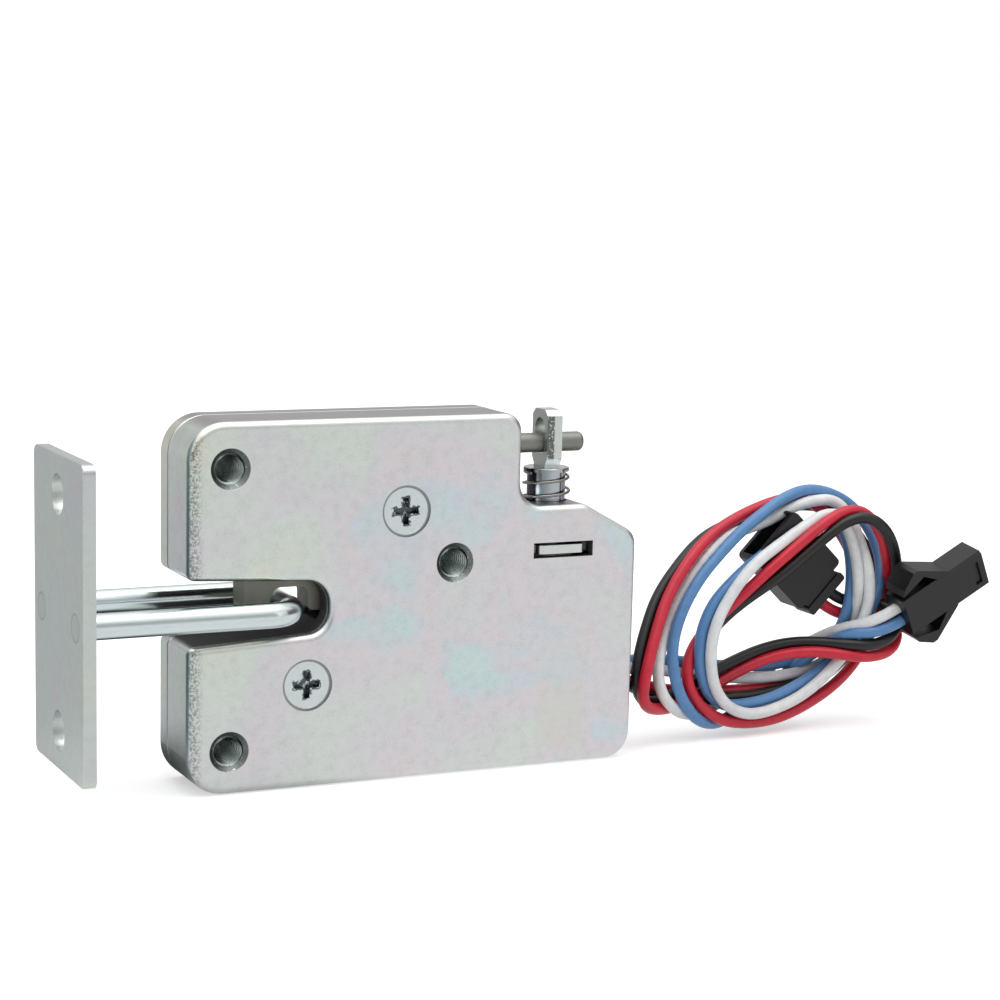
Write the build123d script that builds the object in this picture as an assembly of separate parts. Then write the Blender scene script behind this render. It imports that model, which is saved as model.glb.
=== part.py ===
from build123d import *
import math
import os

# Locker lock: a flat die-cast case, a rotary latch held by a lever, a pull solenoid that
# lifts the lever off, an outside eye and rod for release by hand, and a U-rod striker.
# Millimetres. X runs along the case from its slotted end, Y from the front face to the
# back with zero half way, Z up from the edge that the lock stands on. Everything is drawn
# from the case's own corner, and the last step centres the whole along X.

# case
block_length = 55.8
step_length = 21.2
case_length = block_length + step_length
case_thickness = 14.0
front_shell_depth = 10.0
rim_wall = 2.0
front_wall = 1.8
back_wall = 1.6
front_edge_round = 1.2
back_edge_round = 0.6
parting_edge_round = 0.35
left_corner_radius = 6.0
right_corner_radius = 4.5
block_corner_radius = 3.0
mouth_corner_radius = 1.4
# step in the upper right corner, where the hand release stands
ledge_length = 11.6
slope_drop = 5.3
step_inner_radius = 4.0
slope_radius = 3.0
# U-slot that takes the striker's rod, narrower at its end
rod_height = 28.3
slot_length = 23.1
slot_above_rod = 0.25
slot_mouth_height = 10.4
slot_end_height = 7.9
slot_corner_radius = 3.6
# threaded mounting holes and case screws
mount_thread_radius = 2.5
mount_chamfer = 0.7
mount_boss_wall = 1.7
mount_inset = 6.7
mount_below_top = 7.2
mount_above_bottom = 6.8
middle_mount_to_step = 11.5
middle_mount_above_rod = 6.2
screw_shank_radius = 2.0
screw_head_radius = 3.7
screw_head_depth = 2.0
screw_head_recess = 0.3
screw_boss_radius = 3.9
upper_screw_x = 35.8
upper_screw_below_top = 14.9
lower_screw_x = 19.5
lower_screw_below_rod = 11.9
cross_reach = 2.1
cross_width = 0.95
cross_depth = 1.3
fit_gap = 0.05
free_gap = 0.3
# ribs in the front shell that hold the solenoid
rib_thickness = 1.4
rib_above_yoke = 4.0
rib_length = 16.0
# striker
plate_width = 27.0
plate_height = 48.6
plate_thickness = 2.0
plate_above_rod = 0.5
plate_corner_radius = 1.5
plate_hole_radius = 3.2
plate_hole_spacing = 36.4
plate_to_case = 16.2
rod_radius = 2.0
rod_leg_spacing = 18.5
rod_corner_radius = 5.0
rod_bend_x = 17.3
# latch
latch_thickness = 5.0
latch_hub_radius = 4.6
latch_x = 20.5
latch_above_rod = 13.9
pin_radius = 2.0
pin_socket_depth = 1.0
latch_bore_gap = 0.06
prong_width = 4.4
prong_below_rod = 0.9
prong_to_rod = 0.4
prong_slant = 0.7
rear_arm_to_rod = 1.9
rear_arm_width = 3.4
tail_reach = (7.9, 6.5)
# release lever and its rod
lever_thickness = 5.0
lever_from_latch = 25.5
lever_above_latch = 8.4
lever_below_top = 7.4
lever_hub_radius = 4.0
lever_block_length = 6.6
nose_to_tail = 0.6
nose_below_tail_top = 0.7
nose_width = 2.4
nose_rise = 4.2
release_rod_radius = 1.6
release_rod_above_lever = 1.7
release_rod_seat = 4.3
release_rod_reach = 13.9
release_rod_dome = 0.8
rod_opening_height = 5.9
# torsion springs on the two pins
torsion_wire_radius = 0.3
torsion_coil_radius = 2.9
torsion_pitch = 0.75
torsion_turns = 2
torsion_leg = 7.0
# solenoid
solenoid_from_step = 7.7
yoke_thickness = 1.4
yoke_width = 9.6
yoke_below_ledge = 6.55
yoke_reach_left = 7.1
yoke_reach_right = 6.1
yoke_tab_width = 8.6
yoke_tab_below_face = 0.4
window_width = 10.7
window_height = 2.5
bobbin_bore_gap = 0.1
bobbin_wall = 0.5
bobbin_flange = 1.0
winding_radius = 4.7
pole_length = 11.5
plunger_radius = 3.15
plunger_stroke = 3.5
plunger_left_air = 0.4
plunger_above_ledge = 5.4
collar_radius = 3.75
collar_thickness = 0.6
plunger_hole_gap = 0.3
# eye plate on the plunger
eye_thickness = 2.7
eye_width = 5.5
eye_above_release_rod = 5.5
eye_bevel = 1.0
eye_slot_width = 3.6
eye_slot_below_rod = 0.2
eye_slot_above_rod = 2.5
eye_foot = 3.8
eye_neck_width = 4.0
eye_neck_rise = 1.2
ledge_below_release_rod = 9.4
# return spring
spring_wire_radius = 0.25
spring_bottom_radius = 3.9
spring_turns = 2.5
spring_cone_angle = 5.0
spring_end_gap = 0.15
# feedback switch
switch_size = (6.5, 5.8, 12.8)
switch_to_arm = 3.1
switch_below_rod = 8.7
switch_peg_radius = 1.0
switch_peg_spacing = 6.5
button_width = 1.4
button_height = 2.6
button_place = 9.6
button_to_arm = 0.25
terminal_length = 3.0
terminal_thickness = 0.5
terminal_width = 2.0
# grommet and leads
grommet_height = 12.5
grommet_depth = 0.0
grommet_radius = 2.8
grommet_flange_radius = 3.6
grommet_flange = 0.8
lead_radius = 1.0
lead_spacing = 2.2
coil_centre = (110.3, 21.3)
coil_outer = (27.5, 19.5)
coil_inner_centre = (111.5, 21.6)
coil_inner = (16.5, 10.0)
coil_turn = 21.5
coil_front = -1.2
coil_back = 9.0
coil_round = 1.6
# two-way lead connectors
housing_depth = 5.6
housing_wall = 0.9
housing_bevel = 0.5
contact_radius = 0.5
contact_length = 5.0
contact_spacing = 2.5
contact_seat = 3.0
lead_seat = 2.5
plug_place = (130.8, -4.9, 20.4)
plug_turn = 28.5
plug_roll = 12.0
plug_length = 17.6
plug_width = 7.4
plug_mouth = 6.5
plug_arm_length = 10.6
plug_arm_rise = 4.0
plug_arm_thickness = 1.8
plug_arm_crest = 4.6
plug_window = (1.4, 4.4, 0.4)
receptacle_place = (120.3, 3.9, 23.0)
receptacle_turn = 136.0
receptacle_length = 16.6
receptacle_width = 11.4
receptacle_mouth = 7.5
receptacle_neck = 1.3
receptacle_neck_width = 7.8
receptacle_bar = 1.7
receptacle_bar_width = 9.0

y_front = -case_thickness / 2
y_back = case_thickness / 2
y_parting = y_front + front_shell_depth
y_inner_front = y_front + front_wall
y_inner_back = y_back - back_wall
latch_z = rod_height + latch_above_rod
lever_x = latch_x + lever_from_latch
lever_z = latch_z + lever_above_latch
case_height = lever_z + lever_below_top
release_rod_height = lever_z + release_rod_above_lever
ledge_end = block_length + ledge_length
ledge_height = release_rod_height - ledge_below_release_rod
solenoid_x = block_length + solenoid_from_step
yoke_top = ledge_height - yoke_below_ledge
plunger_top = ledge_height + plunger_above_ledge
eye_top = release_rod_height + eye_above_release_rod
slot_middle = rod_height + slot_above_rod
slot_top = slot_middle + slot_mouth_height / 2
slot_bottom = slot_middle - slot_mouth_height / 2
slot_end_top = slot_middle + slot_end_height / 2
slot_end_bottom = slot_middle - slot_end_height / 2
mount_places = [
    (mount_inset, case_height - mount_below_top),
    (mount_inset, mount_above_bottom),
    (block_length - middle_mount_to_step, rod_height + middle_mount_above_rod),
]
screw_places = [
    (upper_screw_x, case_height - upper_screw_below_top),
    (lower_screw_x, rod_height - lower_screw_below_rod),
]
tail_x = latch_x + tail_reach[0]
tail_z = latch_z + tail_reach[1]
nose_x = tail_x + nose_to_tail
latch_place = (latch_x, latch_z)
lever_place = (lever_x, lever_z)
nose_z = tail_z - nose_below_tail_top
yoke_bottom = rim_wall + free_gap
bobbin_bottom = yoke_bottom + yoke_thickness
bobbin_top = yoke_top - yoke_thickness
pole_top = bobbin_bottom + pole_length
plunger_bottom = pole_top + plunger_stroke + plunger_left_air
collar_bottom = plunger_top - collar_thickness
striker_left = -plate_to_case - plate_thickness
arm_left = rod_bend_x + rod_radius + rear_arm_to_rod
arm_right = arm_left + rear_arm_width
switch_corner = (arm_right + switch_to_arm, rod_height - switch_below_rod)

os.makedirs("parts", exist_ok=True)


def front_face(*corners):
    """Face seen from the front, from corners given as x, z and corner radius."""
    points = [(x, z) for x, z, _ in corners]
    radii = [radius for _, _, radius in corners]
    return Plane.XZ * make_face(FilletPolyline(*points, radius=radii, close=True))


def disc(x, z, radius):
    """Round face seen from the front."""
    return Plane.XZ * (Pos(x, z) * Circle(radius))


def between(face, y_from, y_to):
    """Solid of a front view face between two depths."""
    return extrude(Pos(0, y_from, 0) * face, amount=y_to - y_from, dir=(0, 1, 0))


def block(x_range, y_range, z_range):
    """Box between two values on each axis."""
    low = (x_range[0], y_range[0], z_range[0])
    size = (x_range[1] - low[0], y_range[1] - low[1], z_range[1] - low[2])
    return Pos(*low) * Box(*size, align=(Align.MIN, Align.MIN, Align.MIN))


def along_x(y, z, radius, x_from, x_to):
    """Cylinder along X."""
    return extrude(Plane.YZ.offset(x_from) * (Pos(y, z) * Circle(radius)), amount=x_to - x_from)


def along_z(x, y, radius, z_from, z_to):
    """Cylinder along Z."""
    return extrude(Plane.XY.offset(z_from) * (Pos(x, y) * Circle(radius)), amount=z_to - z_from)


def case_face():
    """Outline of the case with the slot let into its left end."""
    body = front_face(
        (0, 0, left_corner_radius),
        (case_length, 0, right_corner_radius),
        (case_length, ledge_height - slope_drop, slope_radius),
        (ledge_end, ledge_height, slope_radius),
        (block_length, ledge_height, step_inner_radius),
        (block_length, case_height, block_corner_radius),
        (0, case_height, left_corner_radius),
        (0, slot_top, mouth_corner_radius),
        (slot_length, slot_end_top, slot_corner_radius),
        (slot_length, slot_end_bottom, slot_corner_radius),
        (0, slot_bottom, mouth_corner_radius),
    )
    return body


def cavity_face():
    """Room inside the case's rim."""
    return Plane.XZ * offset(Plane.XZ.to_local_coords(case_face()), amount=-rim_wall)


def rounded_block(y_from, y_to, first_round, second_round):
    """Solid of the case's outline with both its ends' edges rounded."""
    solid = between(case_face(), y_from, y_to)
    solid = fillet(solid.edges().filter_by_position(Axis.Y, y_from, y_from), first_round)
    return fillet(solid.edges().filter_by_position(Axis.Y, y_to, y_to), second_round)


def mechanism_room():
    """Opening in the ribs round the slot, where the latch passes into it."""
    half = latch_thickness / 2 + free_gap
    low = rod_height - prong_below_rod - 1.5
    return block(
        (rim_wall, arm_right + free_gap + 1.8),
        (-half, half),
        (low, slot_top + rim_wall + free_gap),
    )


def shared_openings():
    """What is bored through both shells: threads, screws, plunger and release rod."""
    cuts = [disc_bore(x, z, mount_thread_radius) for x, z in mount_places]
    cuts += [disc_bore(x, z, screw_shank_radius + fit_gap) for x, z in screw_places]
    hole = plunger_radius + plunger_hole_gap
    cuts.append(along_z(solenoid_x, 0, hole, ledge_height - rim_wall - 1, ledge_height + 1))
    half = release_rod_radius + 2 * free_gap
    top = release_rod_height + half
    wall = (block_length - rim_wall - 0.1, block_length + 0.1)
    cuts.append(block(wall, (-half, half), (top - rod_opening_height, top)))
    cuts.append(
        along_x(grommet_depth, grommet_height, grommet_radius, case_length - rim_wall - 1, case_length + 1)
    )
    cuts.append(mechanism_room())
    return cuts


def disc_bore(x, z, radius):
    """Bore through the whole thickness."""
    return between(disc(x, z, radius), y_front - 1, y_back + 1)


def front_shell():
    """Deep half of the case: face, rim, bosses, pivot posts, window and locating ribs."""
    shell = rounded_block(y_front, y_parting, front_edge_round, parting_edge_round)
    room = cavity_face()
    shell -= between(room, y_inner_front, y_parting)
    inside = between(room, y_inner_front, y_parting)
    posts = [between(disc(x, z, mount_thread_radius + mount_boss_wall), y_front + 1, y_parting)
             for x, z in mount_places]
    posts += [between(disc(x, z, screw_boss_radius), y_front + 1, y_parting) for x, z in screw_places]
    for (x, z), thickness in ((latch_place, latch_thickness), (lever_place, lever_thickness)):
        posts.append(between(disc(x, z, pin_radius + 1.3), y_front + 1, -thickness / 2 - 0.15))
    web_left = solenoid_x - yoke_reach_left
    right_flange = solenoid_x + yoke_reach_right
    for x in (web_left - free_gap - rib_thickness, right_flange + free_gap):
        posts.append(block((x, x + rib_thickness), (y_front + 1, 0),
                           (yoke_bottom + rib_above_yoke, yoke_bottom + rib_above_yoke + rib_length)))
    for post in posts:
        shell += post & (inside + between(room, y_front + 1, y_inner_front + 0.01))
    for x, z in mount_places:
        shell -= countersink(x, z, mount_thread_radius, mount_chamfer)
    for x, z in screw_places:
        shell -= screw_seat(x, z)
    window = (solenoid_x - window_width / 2, solenoid_x + window_width / 2)
    middle = yoke_top - yoke_thickness / 2
    shell -= block(window, (y_front - 1, y_inner_front + 0.01),
                   (middle - window_height / 2, middle + window_height / 2))
    for x, z in (latch_place, lever_place):
        shell -= between(disc(x, z, pin_radius + fit_gap / 2), y_inner_front - pin_socket_depth, y_parting)
    for x, z in switch_pegs():
        shell += between(disc(x, z, switch_peg_radius), y_inner_front - 0.1, switch_size[1] / 2 - 1)
    for cut in shared_openings():
        shell -= cut
    return shell


def back_shell():
    """Shallow half of the case, which the two screws pull on."""
    shell = rounded_block(y_parting, y_back, parting_edge_round, back_edge_round)
    shell -= between(cavity_face(), y_parting, y_inner_back)
    posts = [(x, z, mount_thread_radius + mount_boss_wall) for x, z in mount_places]
    posts += [(x, z, screw_boss_radius) for x, z in screw_places]
    for x, z, radius in posts:
        shell += between(disc(x, z, radius), y_parting, y_back - 1) & between(
            case_face(), y_parting, y_back - 1
        )
    for x, z in (latch_place, lever_place):
        shell -= between(disc(x, z, pin_radius + fit_gap / 2), y_parting, y_inner_back + pin_socket_depth)
    for cut in shared_openings():
        shell -= cut
    return shell


def countersink(x, z, radius, depth):
    """Cone that opens the mouth of a bore in the front face."""
    mouth = Plane.XZ.offset(-y_front) * (Pos(x, z) * Circle(radius + depth))
    throat = Plane.XZ.offset(-y_front - depth) * (Pos(x, z) * Circle(radius))
    return loft([mouth, throat])


def screw_seat(x, z):
    """Recess and cone for a screw's head."""
    head = screw_head_radius + fit_gap
    top = y_front + screw_head_recess
    straight = between(disc(x, z, head + 0.35), y_front - 1, top)
    mouth = Plane.XZ.offset(-top) * (Pos(x, z) * Circle(head))
    throat_depth = top + screw_head_depth
    throat = Plane.XZ.offset(-throat_depth) * (Pos(x, z) * Circle(screw_shank_radius + fit_gap))
    return straight + loft([mouth, throat])


def case_screws():
    """Two countersunk screws with a cross recess, from the front face into the back shell."""
    screws = []
    top = y_front + screw_head_recess + fit_gap
    for x, z in screw_places:
        mouth = Plane.XZ.offset(-top) * (Pos(x, z) * Circle(screw_head_radius))
        throat = Plane.XZ.offset(-top - screw_head_depth) * (Pos(x, z) * Circle(screw_shank_radius))
        screw = loft([mouth, throat])
        screw += between(disc(x, z, screw_shank_radius), top + screw_head_depth - 0.01, y_back - 0.4)
        for reach_x, reach_z in ((cross_reach, cross_width / 2), (cross_width / 2, cross_reach)):
            screw -= block((x - reach_x, x + reach_x), (top - 1, top + cross_depth),
                           (z - reach_z, z + reach_z))
        screws.append(screw)
    return screws


def latch():
    """Sintered hook: a prong before the rod, an arm behind it and a tail for the lever."""
    prong_right = rod_bend_x - rod_radius - prong_to_rod
    prong_left = prong_right - prong_width
    tip = rod_height - prong_below_rod
    roof = rod_height + rod_radius + 1.0
    plate = front_face(
        (prong_left, tip, 1.6),
        (prong_right - prong_slant, tip, 1.2),
        (prong_right + prong_slant, roof, 1.6),
        (arm_left, roof, 1.6),
        (arm_left, tip, 0.8),
        (arm_right, tip, 1.2),
        (arm_right, latch_z - 5.0, 2.0),
        (tail_x, latch_z - 0.5, 1.5),
        (tail_x, tail_z, 0.5),
        (tail_x - 2.6, tail_z, 0.8),
        (latch_x + 2.6, latch_z + 3.9, 1.5),
        (latch_x - 3.5, latch_z + 4.0, 3.0),
        (prong_left, roof + 4.2, 5.0),
    )
    half = latch_thickness / 2
    body = between(plate, -half, half) + between(disc(latch_x, latch_z, latch_hub_radius), -half, half)
    return body - disc_bore(latch_x, latch_z, pin_radius + latch_bore_gap)


def pivot_pin(x, z):
    """Pin across the case with its ends in both walls."""
    return between(disc(x, z, pin_radius), y_inner_front - pin_socket_depth + fit_gap,
                   y_inner_back + pin_socket_depth - fit_gap)


def torsion_spring(x, z, leg_turn):
    """Open coil round a pivot pin, behind the lever or latch, with two straight legs."""
    height = torsion_pitch * torsion_turns
    start = latch_thickness / 2 + free_gap + torsion_wire_radius
    path = Helix(torsion_pitch, height, torsion_coil_radius)
    wire = sweep(Plane(path @ 0, z_dir=path % 0) * Circle(torsion_wire_radius), path=path)
    legs = []
    for end, sign in ((0, -1), (1, 1)):
        plane = Plane(path @ end, z_dir=(path % end) * sign)
        legs.append(extrude(plane * Circle(torsion_wire_radius), amount=torsion_leg))
    spring = wire + legs[0] + legs[1]
    return Pos(x, start, z) * Rot(-90, 0, 0) * Rot(0, 0, leg_turn) * spring


def release_lever():
    """Pawl whose nose stops the latch's tail, with a block that holds the release rod."""
    right = lever_x + lever_block_length
    plate = front_face(
        (nose_x, nose_z, 0.3),
        (nose_x + nose_width, nose_z, 0.8),
        (nose_x + nose_width + 0.6, nose_z + 1.6, 0.8),
        (lever_x - 5.5, nose_z + 1.6, 2.0),
        (lever_x - 1.0, lever_z - 3.8, 2.0),
        (lever_x + 3.2, lever_z - 2.4, 1.0),
        (right, lever_z - 1.0, 0.6),
        (right, release_rod_height + release_rod_radius + 1.0, 0.8),
        (lever_x - 2.5, release_rod_height + release_rod_radius + 1.0, 3.0),
        (nose_x + 4.0, nose_z + nose_rise + 0.6, 2.5),
        (nose_x, nose_z + nose_rise, 1.0),
    )
    half = lever_thickness / 2
    body = between(plate, -half, half)
    body += between(disc(lever_x, lever_z, lever_hub_radius), -half, half)
    body -= disc_bore(lever_x, lever_z, pin_radius + latch_bore_gap)
    return body - along_x(0, release_rod_height, release_rod_radius + fit_gap / 2,
                          right - release_rod_seat, right + 1)


def release_rod():
    """Rod from the lever out through the case, with a domed end."""
    right = lever_x + lever_block_length
    end = block_length + release_rod_reach
    rod = along_x(0, release_rod_height, release_rod_radius, right - release_rod_seat + fit_gap, end)
    return fillet(rod.edges().sort_by(Axis.X)[-1], release_rod_dome)


def yoke():
    """Bent steel strip round the coil; a tab of its top flange sits in the case's window."""
    left = solenoid_x - yoke_reach_left
    right = solenoid_x + yoke_reach_right
    half = yoke_width / 2
    strip = front_face(
        (right, yoke_bottom, 0),
        (right, bobbin_bottom, 0),
        (left + yoke_thickness, bobbin_bottom, 0.6),
        (left + yoke_thickness, bobbin_top, 0.6),
        (right, bobbin_top, 0),
        (right, yoke_top, 0),
        (left, yoke_top, 0.6 + yoke_thickness),
        (left, yoke_bottom, 0.6 + yoke_thickness),
    )
    frame = between(strip, -half, half)
    tab = block(
        (solenoid_x - yoke_tab_width / 2, solenoid_x + yoke_tab_width / 2),
        (y_front + yoke_tab_below_face, -half),
        (bobbin_top, yoke_top),
    )
    tab = fillet(tab.edges().filter_by(Axis.Z).group_by(Axis.Y)[0], 1.2)
    frame += tab
    frame -= along_z(solenoid_x, 0, plunger_radius + plunger_hole_gap, bobbin_top - 1, yoke_top + 1)
    return frame - along_z(solenoid_x, 0, 1.5 + fit_gap, yoke_bottom - 1, bobbin_bottom + 1)


def bobbin():
    """Moulded spool with a flange at each end."""
    bore = plunger_radius + bobbin_bore_gap
    tube = bore + bobbin_wall
    flange = winding_radius + 0.2
    spool = along_z(solenoid_x, 0, tube, bobbin_bottom, bobbin_top)
    spool += along_z(solenoid_x, 0, flange, bobbin_bottom, bobbin_bottom + bobbin_flange)
    spool += along_z(solenoid_x, 0, flange, bobbin_top - bobbin_flange, bobbin_top)
    return spool - along_z(solenoid_x, 0, bore, bobbin_bottom - 1, bobbin_top + 1)


def coil_winding():
    """Copper winding, its turns taken as one body of their outer shape."""
    inner = plunger_radius + bobbin_bore_gap + bobbin_wall + fit_gap
    low = bobbin_bottom + bobbin_flange
    high = bobbin_top - bobbin_flange
    winding = along_z(solenoid_x, 0, winding_radius, low, high)
    return winding - along_z(solenoid_x, 0, inner, low - 1, high + 1)


def pole_piece():
    """Fixed core, riveted in the yoke's bottom flange."""
    core = along_z(solenoid_x, 0, plunger_radius, bobbin_bottom, pole_top)
    return core + along_z(solenoid_x, 0, 1.5, yoke_bottom + fit_gap, bobbin_bottom)


def plunger():
    """Turned steel plunger with a collar for the spring and a slot for the eye plate."""
    body = along_z(solenoid_x, 0, plunger_radius, plunger_bottom, plunger_top)
    body = chamfer(body.edges().sort_by(Axis.Z)[0], 0.4)
    body += along_z(solenoid_x, 0, collar_radius, collar_bottom, plunger_top)
    body = fillet(body.edges().sort_by(Axis.Z)[-1], 0.25)
    half = eye_thickness / 2 + fit_gap / 2
    width = eye_neck_width / 2 + fit_gap / 2
    return body - block((solenoid_x - half, solenoid_x + half), (-width, width),
                        (plunger_top - eye_foot - fit_gap, plunger_top + 1))


def eye_plate():
    """Flat eye that stands in the plunger's slot, open for the release rod."""
    half = eye_width / 2
    neck = eye_neck_width / 2
    outline = FilletPolyline(
        (-neck, plunger_top - eye_foot),
        (neck, plunger_top - eye_foot),
        (neck, plunger_top + 0.4),
        (half, plunger_top + 0.4 + eye_neck_rise),
        (half, eye_top - eye_bevel),
        (half - eye_bevel, eye_top),
        (-half + eye_bevel, eye_top),
        (-half, eye_top - eye_bevel),
        (-half, plunger_top + 0.4 + eye_neck_rise),
        (-neck, plunger_top + 0.4),
        radius=[0, 0, 0.3, 0.3, 0.5, 0.5, 0.5, 0.5, 0.3, 0.3],
        close=True,
    )
    low = release_rod_height - release_rod_radius - eye_slot_below_rod
    high = release_rod_height + release_rod_radius + eye_slot_above_rod
    arch = Pos(0, (low + high) / 2) * SlotOverall(high - low, eye_slot_width, rotation=90)
    face = make_face(outline) - arch
    plane = Plane.YZ.offset(solenoid_x - eye_thickness / 2)
    return extrude(plane * face, amount=eye_thickness)


def return_spring():
    """Conical spring between the ledge and the plunger's collar."""
    low = ledge_height + spring_wire_radius + spring_end_gap
    high = collar_bottom - spring_wire_radius - spring_end_gap
    height = high - low
    path = Helix(height / spring_turns, height, spring_bottom_radius, cone_angle=-spring_cone_angle)
    section = Plane(path @ 0, z_dir=path % 0) * Circle(spring_wire_radius)
    return Pos(solenoid_x, 0, low) * sweep(section, path=path)


def switch_pegs():
    """Places of the two pegs that the switch sits on."""
    middle_x = switch_corner[0] + switch_size[0] - 1.9
    middle_z = switch_corner[1] + switch_size[2] / 2
    return [(middle_x, middle_z + side * switch_peg_spacing / 2) for side in (-1, 1)]


def switch_body():
    """Small snap switch with its button towards the latch's rear arm."""
    width, depth, height = switch_size
    x, z = switch_corner
    body = block((x, x + width), (-depth / 2, depth / 2), (z, z + height))
    body = fillet(body.edges().filter_by(Axis.Y), 0.5)
    for peg_x, peg_z in switch_pegs():
        body -= disc_bore(peg_x, peg_z, switch_peg_radius + 0.1)
    low = z + button_place - button_height / 2 - 0.1
    return body - block((x - 1, x + 1.6), (-button_width / 2 - 0.1, button_width / 2 + 0.1),
                        (low, low + button_height + 0.2))


def switch_button():
    """Button that the latch's rear arm holds in."""
    x = arm_right + button_to_arm
    z = switch_corner[1] + button_place
    body = block((x, switch_corner[0] + 1.5), (-button_width / 2, button_width / 2),
                 (z - button_height / 2, z + button_height / 2))
    return fillet(body.edges().filter_by(Axis.Y).group_by(Axis.X)[0], 0.4)


def switch_terminals():
    """Two blades on the back of the switch."""
    x = switch_corner[0] + switch_size[0]
    terminals = []
    for share in (0.2, 0.8):
        z = switch_corner[1] + share * switch_size[2]
        terminals.append(
            block((x, x + terminal_length), (-terminal_width / 2, terminal_width / 2),
                  (z - terminal_thickness / 2, z + terminal_thickness / 2))
        )
    return terminals


def lead_places():
    """Where the four leads leave the grommet, by colour."""
    step = lead_spacing / 2
    y, z = grommet_depth, grommet_height
    return {
        "black": (y - step, z - step),
        "red": (y + step, z - step),
        "white": (y - step, z + step),
        "blue": (y + step, z + step),
    }


def lead_grommet():
    """Rubber bush in the end wall, bored for the four leads."""
    face = case_length + grommet_flange
    body = along_x(grommet_depth, grommet_height, grommet_radius - fit_gap, case_length - rim_wall - 0.6, face)
    body += along_x(grommet_depth, grommet_height, grommet_flange_radius, case_length, face)
    body = fillet(body.edges().group_by(Axis.X)[-1], 0.3)
    for y, z in lead_places().values():
        body -= along_x(y, z, lead_radius + fit_gap / 2, case_length - rim_wall - 2, face + 1)
    return body


def oval(centre, reach):
    """Tilted oval seen from the front."""
    turned = Pos(*centre) * Rot(0, 0, coil_turn) * Ellipse(*reach)
    return Plane.XZ * turned


def lead_coil():
    """The leads' loose coil, one ring of its outer shape, with room for the smaller connector."""
    ring = between(oval(coil_centre, coil_outer), coil_front, coil_back)
    ring = fillet(ring.edges(), coil_round)
    ring -= between(oval(coil_inner_centre, coil_inner), coil_front - 1, coil_back + 1)
    room = receptacle_width / 2 + free_gap
    depth = housing_depth / 2 + free_gap
    pocket = block((-free_gap, receptacle_length + free_gap), (-depth, depth), (-room, room))
    return ring - receptacle_location() * pocket


def reach_of_oval(start, direction, centre, reach):
    """Distance from a point along a direction in the front view to where it meets the oval."""
    turn = math.radians(coil_turn)
    offset_x, offset_z = start[0] - centre[0], start[1] - centre[1]
    first = offset_x * math.cos(turn) + offset_z * math.sin(turn)
    second = offset_z * math.cos(turn) - offset_x * math.sin(turn)
    first_step = direction[0] * math.cos(turn) + direction[1] * math.sin(turn)
    second_step = direction[1] * math.cos(turn) - direction[0] * math.sin(turn)
    square = (first_step / reach[0]) ** 2 + (second_step / reach[1]) ** 2
    middle = first * first_step / reach[0] ** 2 + second * second_step / reach[1] ** 2
    rest = (first / reach[0]) ** 2 + (second / reach[1]) ** 2 - 1
    root = math.sqrt(middle * middle - square * rest)
    near, far = (-middle - root) / square, (-middle + root) / square
    return near if near > 0 else far


def straight_lead(start, end):
    """Round lead between two points."""
    way = Vector(*end) - Vector(*start)
    lead = extrude(Plane(start, z_dir=way) * Circle(lead_radius), amount=way.length)
    section = math.pi * lead_radius ** 2
    print(f"lead stretch {way.length:.1f} mm, straight, volume over section {lead.volume / section:.1f} mm")
    return lead


def leads():
    """Each lead's two free stretches: grommet to coil, and coil to its connector."""
    solids = {}
    for colour, (y, z) in lead_places().items():
        start = (case_length - rim_wall, y, z)
        reach = reach_of_oval((start[0], z), (1, 0), coil_centre, coil_outer)
        solids[colour] = [straight_lead(start, (start[0] + reach - 2 * free_gap, y, z))]
    for colour, side in (("white", 1), ("blue", -1)):
        seat = plug_location() * Pos(lead_seat - fit_gap, 0, side * contact_spacing / 2)
        entry = plug_location() * Pos(-2 * free_gap, 0, side * contact_spacing / 2)
        gap_to_coil = coil_front - free_gap - lead_radius - plug_place[1]
        outer = entry * Pos(-gap_to_coil, gap_to_coil, 0)
        stretch = straight_lead(tuple(outer.position), tuple(entry.position))
        solids[colour].append(stretch + straight_lead(tuple(entry.position), tuple(seat.position)))
    for colour, side in (("red", 1), ("black", -1)):
        seat = receptacle_location() * Pos(lead_seat - fit_gap, 0, side * contact_spacing / 2)
        entry = (receptacle_location() * Pos(0, 0, side * contact_spacing / 2)).position
        turn = math.radians(receptacle_turn)
        way = (-math.cos(turn), -math.sin(turn))
        reach = reach_of_oval((entry.X, entry.Z), way, coil_inner_centre, coil_inner) - 3 * free_gap
        outer = (entry.X + way[0] * reach, entry.Y, entry.Z + way[1] * reach)
        solids[colour].append(straight_lead(outer, tuple(seat.position)))
    return solids


def plug_location():
    """Lead end of the plug housing, its length turned up to the right."""
    return Location(plug_place) * Rot(0, -plug_turn, 0) * Rot(plug_roll, 0, 0)


def receptacle_location():
    """Lead end of the receptacle housing, its length turned up to the left."""
    return Location(receptacle_place) * Rot(0, -receptacle_turn, 0)


def bored_for_leads(body, mouth_start):
    """A housing with its two lead bores and the narrower bores for the contacts."""
    for side in (-1, 1):
        z = side * contact_spacing / 2
        body -= along_x(0, z, lead_radius + fit_gap, -1, lead_seat)
        body -= along_x(0, z, contact_radius + fit_gap, lead_seat, mouth_start + 0.1)
    return body


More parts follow.
